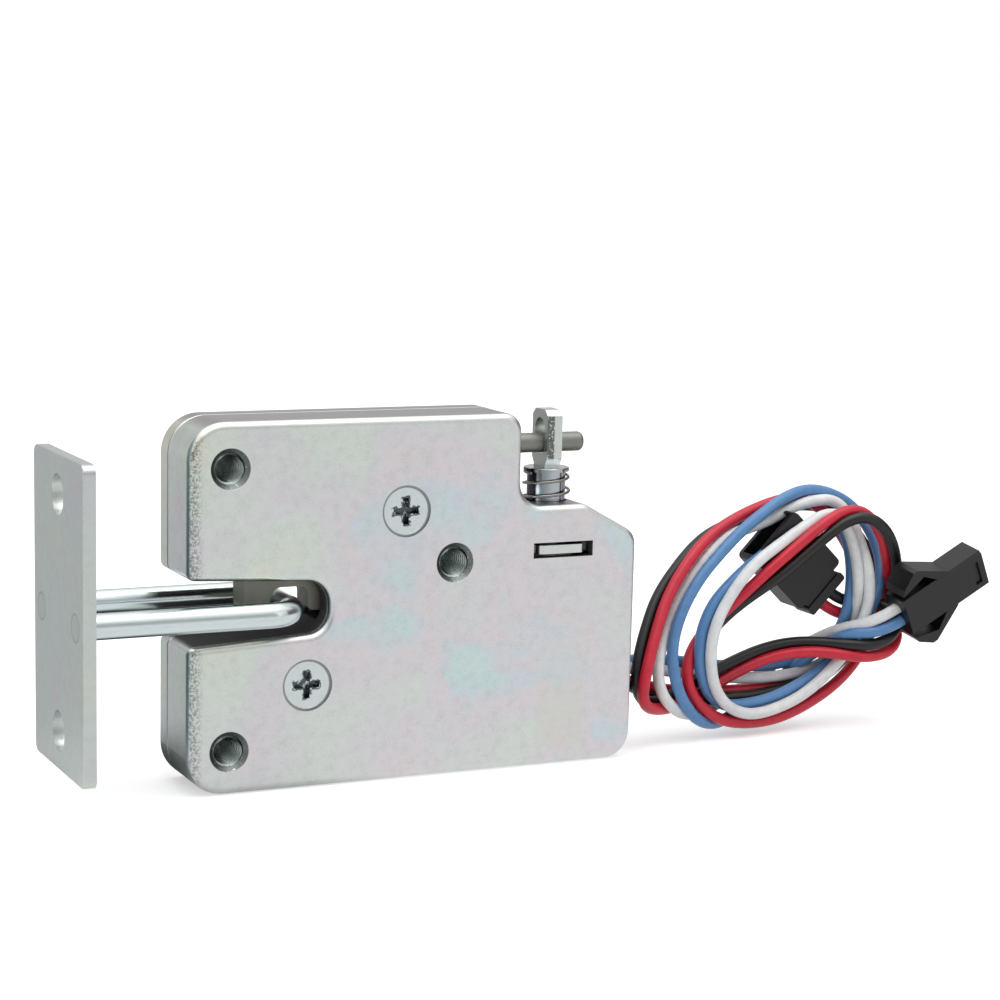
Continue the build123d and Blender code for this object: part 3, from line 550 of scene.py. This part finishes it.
# Latch: a sintered steel hook on a hardened pin, with a two-turn torsion spring behind it.
# Its prong stands in the slot before the rod, and its tail rests on the release lever.
sintered = plated_steel("sintered steel", (0.26, 0.245, 0.21), 0.50, film=0.08, size=0.00013, dent=1.0)
hardened_pin = plated_steel("hardened pin", (0.66, 0.66, 0.67), 0.16, film=0.0, size=0.0001, dent=0.2)
finish_node("latch", sintered)
finish_node("latch_pin", hardened_pin)
finish_node("latch_spring", spring_finish)

# Release lever: a second sintered piece with its own pin and spring, whose nose stops the
# latch's tail. A round steel rod is pressed into its block and passes out of the case
# through the eye plate; the rod is left with a dull grey tumbled finish.
finish_node("release_lever", sintered)
finish_node("lever_pin", hardened_pin)
finish_node("lever_spring", spring_finish)
finish_node("release_rod", plated_steel("tumbled rod", (0.27, 0.27, 0.245), 0.46, film=0.05,
                                        size=0.0002, dent=0.8, shift=0.35))

# Feedback switch: a moulded body on two pegs of the casting, a small button that the latch
# presses and two tin plated terminals.
finish_node("switch_body", moulded_plastic("black polyester", (0.03, 0.03, 0.032), 0.4))
finish_node("switch_button", moulded_plastic("red button", (0.45, 0.03, 0.02), 0.35))
tinned = plated_steel("tin plate", (0.80, 0.80, 0.77), 0.24, film=0.0, size=0.0001, dent=0.2)
finish_node("switch_terminals", tinned)

# Leads: a rubber grommet in the end wall lets out four stranded leads with a soft glossy
# jacket, red and black from the coil and white and blue from the switch. They lie in two
# and a half loose turns, and each pair ends in its own two-way connector.
finish_node("lead_grommet", moulded_plastic("grommet rubber", (0.035, 0.035, 0.035), 0.55, dent=0.4))

lead_radius = 0.001


def lead_jacket(name, colour, deep):
    """Soft glossy jacket that lies over the strands with a slight waviness."""
    material, tree, shader = new_material(name, Coat_Weight=0.15, Coat_Roughness=0.2)
    grain = use_effect(tree, "metal grain", Size=0.0016)
    feed(tree, shader, colour_steps(tree, grain["Shade"], [(0.32, deep), (0.62, colour)]),
         scaled(tree, grain["Shade"], 0.12, 0.34))
    bump(tree, shader, grain["Height"], 0.00005, 0.15)
    return material


def lay_lead(name, route, jacket, node):
    """A lead as one smooth curve along its route, in millimetres in the lock's own frame."""
    curve = bpy.data.curves.new(name, "CURVE")
    curve.dimensions = "3D"
    curve.bevel_depth = lead_radius
    curve.bevel_resolution = 5
    curve.resolution_u = 7
    curve.use_fill_caps = True
    line = curve.splines.new("NURBS")
    line.points.add(len(route) - 1)
    for point, (x, y, z) in zip(line.points, route):
        point.co = (x / 1000, y / 1000, z / 1000, 1)
    line.order_u = 3
    line.use_endpoint_u = True
    curve.materials.append(jacket)
    lead = add_piece(name, curve)
    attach(lead, "case")
    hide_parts(node, "lead_coil")


red_route = [
    (48.4, 1.1, 11.4), (51.2, 1.6, 11.0), (59.3, 4.2, 8.1), (67.4, 5.8, 6.9), (76.5, 5.8, 6.4),
    (84.6, 5.4, 6.9), (90.7, 5.2, 8.2), (96.7, 5.7, 10.2), (102.0, 6.3, 13.4), (104.3, 5.4, 18.1),
    (103.9, 2.7, 23.8), (101.9, 0.3, 28.9), (100.2, -0.4, 33.4), (97.4, -0.5, 37.3), (93.3, -0.8, 38.9),
    (88.7, -1.2, 37.5), (82.9, -1.3, 33.5), (77.9, -1.0, 29.7), (73.6, -0.5, 26.0), (70.0, 0.6, 22.4),
    (67.0, 1.9, 19.2), (64.1, 1.7, 16.1), (62.2, 0.6, 13.0), (61.9, -0.5, 9.7), (63.5, -1.1, 6.6),
    (66.6, -1.3, 4.1), (70.4, -1.0, 2.6), (75.5, -0.5, 2.0), (81.2, 0.2, 2.4), (87.9, 1.2, 4.4),
    (94.3, 2.4, 7.4), (99.1, 3.6, 11.2), (101.7, 4.8, 15.5), (102.2, 5.9, 20.4), (100.3, 6.1, 25.9),
    (97.6, 6.0, 30.4), (94.7, 6.0, 34.5), (90.9, 6.3, 38.5), (86.1, 6.7, 40.2), (80.8, 6.6, 39.3),
    (74.2, 5.5, 37.4), (68.2, 3.9, 35.0), (63.0, 2.0, 31.4), (57.8, 0.3, 25.4), (54.3, -2.2, 19.2),
    (51.6, -4.2, 13.0), (51.0, -4.4, 9.5), (52.6, -3.2, 7.0), (57.1, -0.6, 5.8), (62.5, 2.1, 5.9),
    (68.3, 3.9, 7.4), (72.8, 3.7, 9.8), (77.4, 2.7, 12.0), (81.9, 1.5, 13.4), (86.9, -0.2, 13.9),
    (91.7, -2.4, 13.4), (96.1, -3.3, 12.7), (101.6, -2.6, 13.2), (104.7, -0.3, 15.9), (104.2, 2.6, 18.1),
    (100.3, 4.4, 18.4), (92.5, 3.9, 19.7), (89.0, 3.9, 23.1),
]
black_route = [
    (48.4, -1.1, 11.4), (51.2, -0.7, 10.4), (57.6, 3.4, 6.6), (65.6, 4.6, 5.2), (71.9, 4.1, 5.8),
    (76.9, 3.7, 5.7), (83.3, 3.3, 6.7), (88.9, 2.6, 8.5), (94.5, 1.8, 11.5), (100.1, 1.6, 15.5),
    (103.7, 1.7, 20.3), (104.0, 0.2, 25.6), (102.0, -2.0, 30.8), (99.2, -2.9, 35.3), (95.5, -2.7, 37.7),
    (91.6, -2.3, 37.1), (88.8, -1.8, 35.2), (84.9, -1.2, 32.1), (79.0, -0.7, 27.5), (74.2, 0.4, 24.3),
    (70.9, 2.0, 21.2), (68.1, 2.8, 18.1), (66.4, 2.2, 14.8), (65.9, 1.8, 11.4), (66.5, 1.5, 8.2),
    (69.2, 1.9, 5.5), (74.0, 2.5, 4.1), (80.3, 3.4, 3.5), (87.2, 4.7, 4.9), (94.5, 6.6, 7.6),
    (100.7, 8.1, 11.6), (104.2, 8.1, 16.9), (105.0, 8.0, 22.4), (104.0, 8.0, 27.6), (101.2, 8.0, 32.0),
    (97.2, 8.1, 35.8), (92.1, 8.1, 38.2), (86.3, 8.1, 38.5), (81.0, 8.1, 37.5), (75.7, 7.9, 36.3),
    (70.2, 6.6, 35.0), (66.2, 5.0, 33.5), (62.1, 3.7, 30.5), (56.8, 2.1, 25.2), (53.4, -0.2, 19.6),
    (51.1, -2.1, 14.6), (50.8, -2.6, 10.7), (52.8, -1.3, 7.6), (57.8, 1.4, 6.8), (63.0, 3.1, 8.2),
    (68.2, 4.0, 10.1), (72.7, 3.7, 12.1), (78.4, 3.2, 14.2), (84.0, 2.4, 15.2), (88.8, 0.3, 15.3),
    (93.1, -2.7, 15.1), (97.0, -3.7, 14.9), (101.1, -3.3, 15.9), (103.2, -2.0, 18.5), (102.5, 0.1, 20.9),
    (100.2, 3.0, 21.4), (94.3, 3.9, 21.5), (90.7, 3.9, 24.9),
]
white_route = [
    (48.4, -1.1, 13.6), (51.2, -0.8, 13.7), (58.7, 3.3, 11.8), (66.0, 5.7, 10.1), (73.1, 5.7, 8.9),
    (81.3, 4.3, 8.6), (89.2, 3.8, 9.5), (94.9, 3.8, 12.5), (97.1, 2.4, 17.4), (96.4, 0.5, 23.1),
    (95.5, -0.1, 28.6), (94.4, 0.4, 33.2), (92.4, 0.8, 37.5), (88.7, 0.7, 38.0), (84.0, 0.2, 35.8),
    (79.7, -0.3, 33.5), (74.0, -0.8, 30.2), (70.0, -1.2, 26.0), (67.0, -1.6, 21.8), (65.4, -2.0, 17.4),
    (65.3, -2.2, 13.0), (66.4, -2.3, 8.7), (69.2, -2.1, 5.5), (73.4, -1.9, 3.9), (78.1, -1.5, 4.2),
    (84.4, -0.9, 6.0), (90.3, -0.7, 10.0), (94.7, -0.8, 14.9), (97.2, -1.1, 20.2), (97.8, -0.9, 24.7),
    (97.5, -0.1, 28.9), (96.7, 1.5, 32.6), (95.9, 3.5, 36.6), (93.0, 4.4, 39.8), (88.2, 4.6, 39.7),
    (84.3, 5.0, 38.5), (80.3, 4.9, 36.6), (76.2, 4.7, 35.5), (71.5, 4.1, 34.5), (67.0, 2.9, 31.6),
    (63.4, 2.1, 27.9), (60.1, 1.5, 23.3), (57.6, 0.5, 18.5), (55.8, -0.9, 14.8), (55.4, -1.9, 10.8),
    (56.5, -2.6, 7.8), (60.5, -1.0, 4.8), (66.7, 3.0, 3.6), (75.5, 7.8, 5.1), (82.0, 8.1, 8.8),
    (87.6, 8.1, 11.8), (91.4, 5.7, 14.8), (93.0, 0.6, 17.4), (97.3, -4.9, 19.6), (102.1, -4.9, 22.2),
]
blue_route = [
    (48.4, 1.1, 13.6), (51.2, 1.7, 14.4), (57.4, 4.0, 13.7), (64.1, 5.3, 12.5), (73.0, 5.8, 10.9),
    (82.5, 6.3, 10.3), (90.8, 6.4, 11.4), (94.4, 4.2, 15.0), (95.0, 1.9, 19.7), (96.1, 2.5, 24.9),
    (96.1, 3.2, 29.8), (94.3, 3.1, 34.6), (90.2, 2.4, 37.4), (85.1, 2.0, 35.5), (80.6, 1.6, 33.2),
    (75.2, 1.3, 30.2), (70.7, 0.8, 27.0), (66.7, 0.3, 23.5), (64.4, -0.1, 18.9), (64.0, -0.5, 14.8),
    (64.5, -0.7, 10.9), (66.1, -0.5, 7.7), (69.6, -0.1, 5.4), (75.1, 0.4, 5.3), (80.1, 0.7, 6.0),
    (85.9, 1.0, 8.1), (92.4, 1.2, 11.8), (97.1, 0.5, 17.4), (100.3, 0.7, 22.2), (103.0, 3.5, 26.6),
    (103.0, 5.6, 31.3), (100.3, 6.3, 35.8), (97.0, 6.6, 38.9), (92.5, 6.4, 40.9), (87.6, 5.8, 41.6),
    (82.8, 4.6, 40.5), (78.2, 3.4, 38.4), (72.8, 2.2, 35.4), (68.0, 1.2, 31.6), (64.1, 0.3, 28.2),
    (60.7, -0.5, 23.7), (58.7, -1.1, 19.4), (57.9, -1.7, 15.4), (58.5, -2.2, 11.0), (60.0, -2.6, 7.2),
    (63.2, -1.7, 3.7), (68.4, 0.9, 1.9), (74.5, 4.6, 2.7), (82.0, 7.8, 5.4), (85.6, 7.7, 7.7),
    (87.4, 3.7, 11.4), (91.5, 2.6, 14.1), (92.8, -1.7, 17.0), (98.5, -4.9, 17.4), (103.3, -4.9, 20.0),
]

on_receptacle = ["receptacle_housing", "receptacle_contacts"]
on_plug = ["plug_housing", "plug_contacts"]
for colour, route, skin, deep, length, on_end in [
        ("red", red_route, (0.66, 0.012, 0.040), (0.52, 0.008, 0.028), 0.342, on_receptacle),
        ("black", black_route, (0.007, 0.0065, 0.006), (0.004, 0.0035, 0.003), 0.331, on_receptacle),
        ("white", white_route, (0.83, 0.84, 0.84), (0.66, 0.68, 0.70), 0.295, on_plug),
        ("blue", blue_route, (0.105, 0.27, 0.53), (0.085, 0.22, 0.46), 0.296, on_plug)]:
    lay_lead(f"{colour}_lead", route, lead_jacket(f"{colour} jacket", skin, deep), f"lead_{colour}")

# Connectors: two moulded nylon housings, a latching plug and a shrouded receptacle, each
# with two crimped and tin plated contacts pushed in from behind.
connector_nylon = moulded_plastic("black connector nylon", (0.005, 0.005, 0.0055), 0.33, size=0.00025,
                                  dent=0.3)
finish_node("plug_housing", connector_nylon)
finish_node("receptacle_housing", connector_nylon)
finish_node("plug_contacts", tinned)
finish_node("receptacle_contacts", tinned)

# Case screws: two countersunk screws with a cross recess, zinc plated and a little bluer
# than the casting, driven from the front face into the back shell.
recess_y = (-0.00665, -0.0064)
head_y = (-0.0030, -0.0036)
cross_half_width = (0.00082, 0.00068)
cross_half_length = (0.00245, 0.00228)
cross_raggedness = 0.0014
screw_finish = plated_steel("plated screws", (0.76, 0.83, 0.85), 0.27, film=0.15, size=0.0002, shift=0.6)
tree, shader, plated = reopen(screw_finish)
place = place_on(tree)
where = split_xyz(tree, place)
smear = noise(tree, place, 1400.0)
ragged = swing(tree, smear, cross_raggedness)
# painted shade: the recess below the head's face and the cross are painted dark
dark = soft_step(tree, where["Y"], *recess_y)
for x, z in screw_middles:
    # painted shade in the cross recess, drawn wide and ragged
    off_x, off_z = off_middle(tree, where["X"], x), off_middle(tree, where["Z"], z)
    across_arm = calc(tree, "ADD", calc(tree, "MINIMUM", off_x, off_z), ragged)
    along_arm = calc(tree, "ADD", calc(tree, "MAXIMUM", off_x, off_z), ragged)
    cross = product(tree, soft_step(tree, across_arm, *cross_half_width),
                    soft_step(tree, along_arm, *cross_half_length))
    dark = calc(tree, "MAXIMUM", dark, cross)
dark = product(tree, dark, soft_step(tree, smear, 0.30, 0.44), soft_step(tree, where["Y"], *head_y))
tree.links.new(stain(tree, plated, dark, 0.9, (0.035, 0.05, 0.065)), shader.inputs["Base Color"])
finish_node("case_screws", screw_finish)

# Striker: a flat plate with two rounded screw holes, and a drawn steel rod bent to a U whose
# ends are turned down, pushed through the plate and peened. Plated together.
leg_off_middle = 0.00925
leg_level = 0.0283
peened_radius = 0.00212
plate_colour = (0.64, 0.69, 0.68)
plate_finish = plated_steel("plated striker plate", plate_colour, 0.34, film=0.4, size=0.00025, dent=0.5,
                            shift=0.45)
tree, shader, plated = reopen(plate_finish)
where = split_xyz(tree, place_on(tree))
# faint ring where each leg of the rod is peened into the plate
from_leg = from_axis(tree, calc(tree, "ABSOLUTE", where["Y"]), where["Z"], leg_off_middle, leg_level)
ring = soft_step(tree, off_middle(tree, from_leg, peened_radius), 0.00026, 0.00008)
tree.links.new(stain(tree, plated, ring, 0.45, (0.28, 0.36, 0.36)), shader.inputs["Base Color"])
finish_node("striker_plate", plate_finish)

# the rod's peened ends are as dull as the plate
peened_x = (-0.0472, -0.0475)
rod_finish = plated_steel("plated bright rod", (0.78, 0.87, 0.89), 0.17, film=0.1, size=0.00012,
                          stretch_x=0.06, dent=0.2, shift=0.15)
tree, shader, bright = reopen(rod_finish)
smooth = shader.inputs["Roughness"].links[0].from_socket
peened = soft_step(tree, split_xyz(tree, place_on(tree))["X"], *peened_x)
feed(tree, shader, blend_colours(tree, peened, bright, (*plate_colour, 1)),
     scaled(tree, peened, 0.24, smooth))
finish_node("striker_rod", rod_finish)

# Studio: a white sweep under soft light from above and from both sides, with the dark room
# behind the camera showing only as thin dark lines in the bright metal.
sweep_half = 1.6
floor_mesh = bpy.data.meshes.new("white_sweep")
floor_mesh.from_pydata([(-sweep_half, -sweep_half, 0), (sweep_half, -sweep_half, 0),
                        (sweep_half, sweep_half, 0), (-sweep_half, sweep_half, 0)],
                       [], [(0, 1, 2, 3)])
floor = add_piece("white_sweep", floor_mesh)
floor.location.z = -0.0001

# painted shade seen only in the metal: there the paper is painted dark right beneath the lock and greyer
# behind it
sweep_paper, tree, shader = new_material("sweep paper", Roughness=0.9, Specular_IOR_Level=0.0)
place = place_on(tree)
from_lock = vector_calc(tree, "SUBTRACT", place, (-0.018, 0.016, 0.0))
from_lock = vector_calc(tree, "MULTIPLY", from_lock, (0.7, 1.0, 1.0))
beyond_lock = soft_step(tree, vector_calc(tree, "LENGTH", from_lock), 0.014, 0.030)
to_the_back = soft_step(tree, split_xyz(tree, place)["Y"], 0.0, 0.05)
lit_paper = blend_colours(tree, to_the_back, (0.80, 0.80, 0.80, 1), (0.52, 0.53, 0.54, 1))
shaded_paper_in_metal = blend_colours(tree, beyond_lock, (0.05, 0.055, 0.055, 1), lit_paper)
rays = add_node(tree, "ShaderNodeLightPath").outputs
glossy = rays["Is Glossy Ray"]
seen = calc(tree, "ADD", rays["Is Camera Ray"], rays["Is Transmission Ray"], clamp=True)
not_glossy = calc(tree, "SUBTRACT", 1.0, glossy, clamp=True)
for socket, output in [
        ("Base Color", blend_colours(tree, not_glossy, (0.0, 0.0, 0.0, 1), (0.8, 0.8, 0.8, 1))),
        ("Emission Color", blend_colours(tree, glossy, (1, 1, 1, 1), shaded_paper_in_metal)),
        ("Emission Strength", scaled(tree, seen, 0.45, glossy))]:
    tree.links.new(output, shader.inputs[socket])
floor_mesh.materials.append(sweep_paper)

# the walls are palest high up and dark at the low right and behind the camera
wall_greys = [(0.40, 0.66), (0.52, 0.60), (0.60, 0.46), (0.72, 0.50), (0.84, 1.0), (1.0, 1.3)]
way_to_camera = (-0.426, -0.888, 0.171)
way_to_backdrop = (0.43, 0.90, 0.0)
world = bpy.data.worlds.new("studio")
bpy.context.scene.world = world
world.use_nodes = True
tree = world.node_tree
way = add_node(tree, "ShaderNodeTexCoord").outputs["Generated"]
looking = split_xyz(tree, way)
walls = colour_steps(tree, scaled(tree, looking["Z"], 0.5, 0.5), wall_greys)
low_right = product(tree, soft_step(tree, looking["X"], 0.55, 0.85),
                    soft_step(tree, looking["Z"], 0.55, 0.30))
walls = stain(tree, walls, low_right, 0.8, (0.06, 0.05, 0.05))
room = soft_step(tree, vector_calc(tree, "DOT_PRODUCT", way, way_to_camera), 0.955, 0.99)
walls = stain(tree, walls, room, 0.9, (0.05, 0.05, 0.055))
straight_back = soft_step(tree, vector_calc(tree, "DOT_PRODUCT", way, way_to_backdrop), 0.88, 0.95)
backdrop = product(tree, straight_back, soft_step(tree, looking["Z"], 0.16, 0.06))
rays = add_node(tree, "ShaderNodeLightPath").outputs
mirrored = calc(tree, "ADD", rays["Is Glossy Ray"], rays["Is Transmission Ray"], clamp=True)
white = calc(tree, "ADD", rays["Is Camera Ray"], calc(tree, "MULTIPLY", mirrored, backdrop), clamp=True)
sky = tree.nodes["Background"]
tree.links.new(blend_colours(tree, white, walls, (1, 1, 1, 1)), sky.inputs["Color"])


def softbox(name, place, aim, width, height, power):
    """Square soft light aimed at a point."""
    lamp = bpy.data.lights.new(name, "AREA")
    lamp.shape = "RECTANGLE"
    lamp.size = width
    lamp.size_y = height
    lamp.energy = power
    stand = add_piece(name, lamp)
    stand.location = place
    stand.rotation_mode = "QUATERNION"
    stand.rotation_quaternion = (Vector(aim) - Vector(place)).to_track_quat("-Z", "Y")


softbox("overhead box", (0.05, -0.15, 0.75), (0.03, 0, 0.02), 0.7, 0.5, 1.6)
softbox("left box", (-0.75, -0.25, 0.35), (0.0, 0, 0.03), 0.4, 0.5, 0.25)
softbox("right box", (0.65, -0.65, 0.30), (0.03, 0, 0.03), 0.5, 0.5, 0.4)

# Camera: a long lens from the front left and a little above, as in the photograph. Its turn
# is given by the ways of its right side, its top and its aim.
right = Vector((0.90328446, -0.428345, 0.02444864))
up = Vector((0.05139878, 0.16461051, 0.98501855))
ahead = Vector((0.42595228, 0.88849532, -0.17070652))
lens = bpy.data.cameras.new("long lens")
lens.sensor_width = 36.0
lens.lens = 91.218
lens.shift_x = -0.00215
lens.shift_y = 0.060
lens.clip_start = 0.01
lens.clip_end = 20.0
camera = add_piece("long lens", lens)
camera.rotation_mode = "QUATERNION"
camera.location = (-0.149563, -0.367258, 0.103709)
camera.rotation_quaternion = Matrix((right, up, -ahead)).transposed().to_quaternion()
bpy.context.scene.camera = camera
bpy.context.scene.view_settings.view_transform = "Standard"
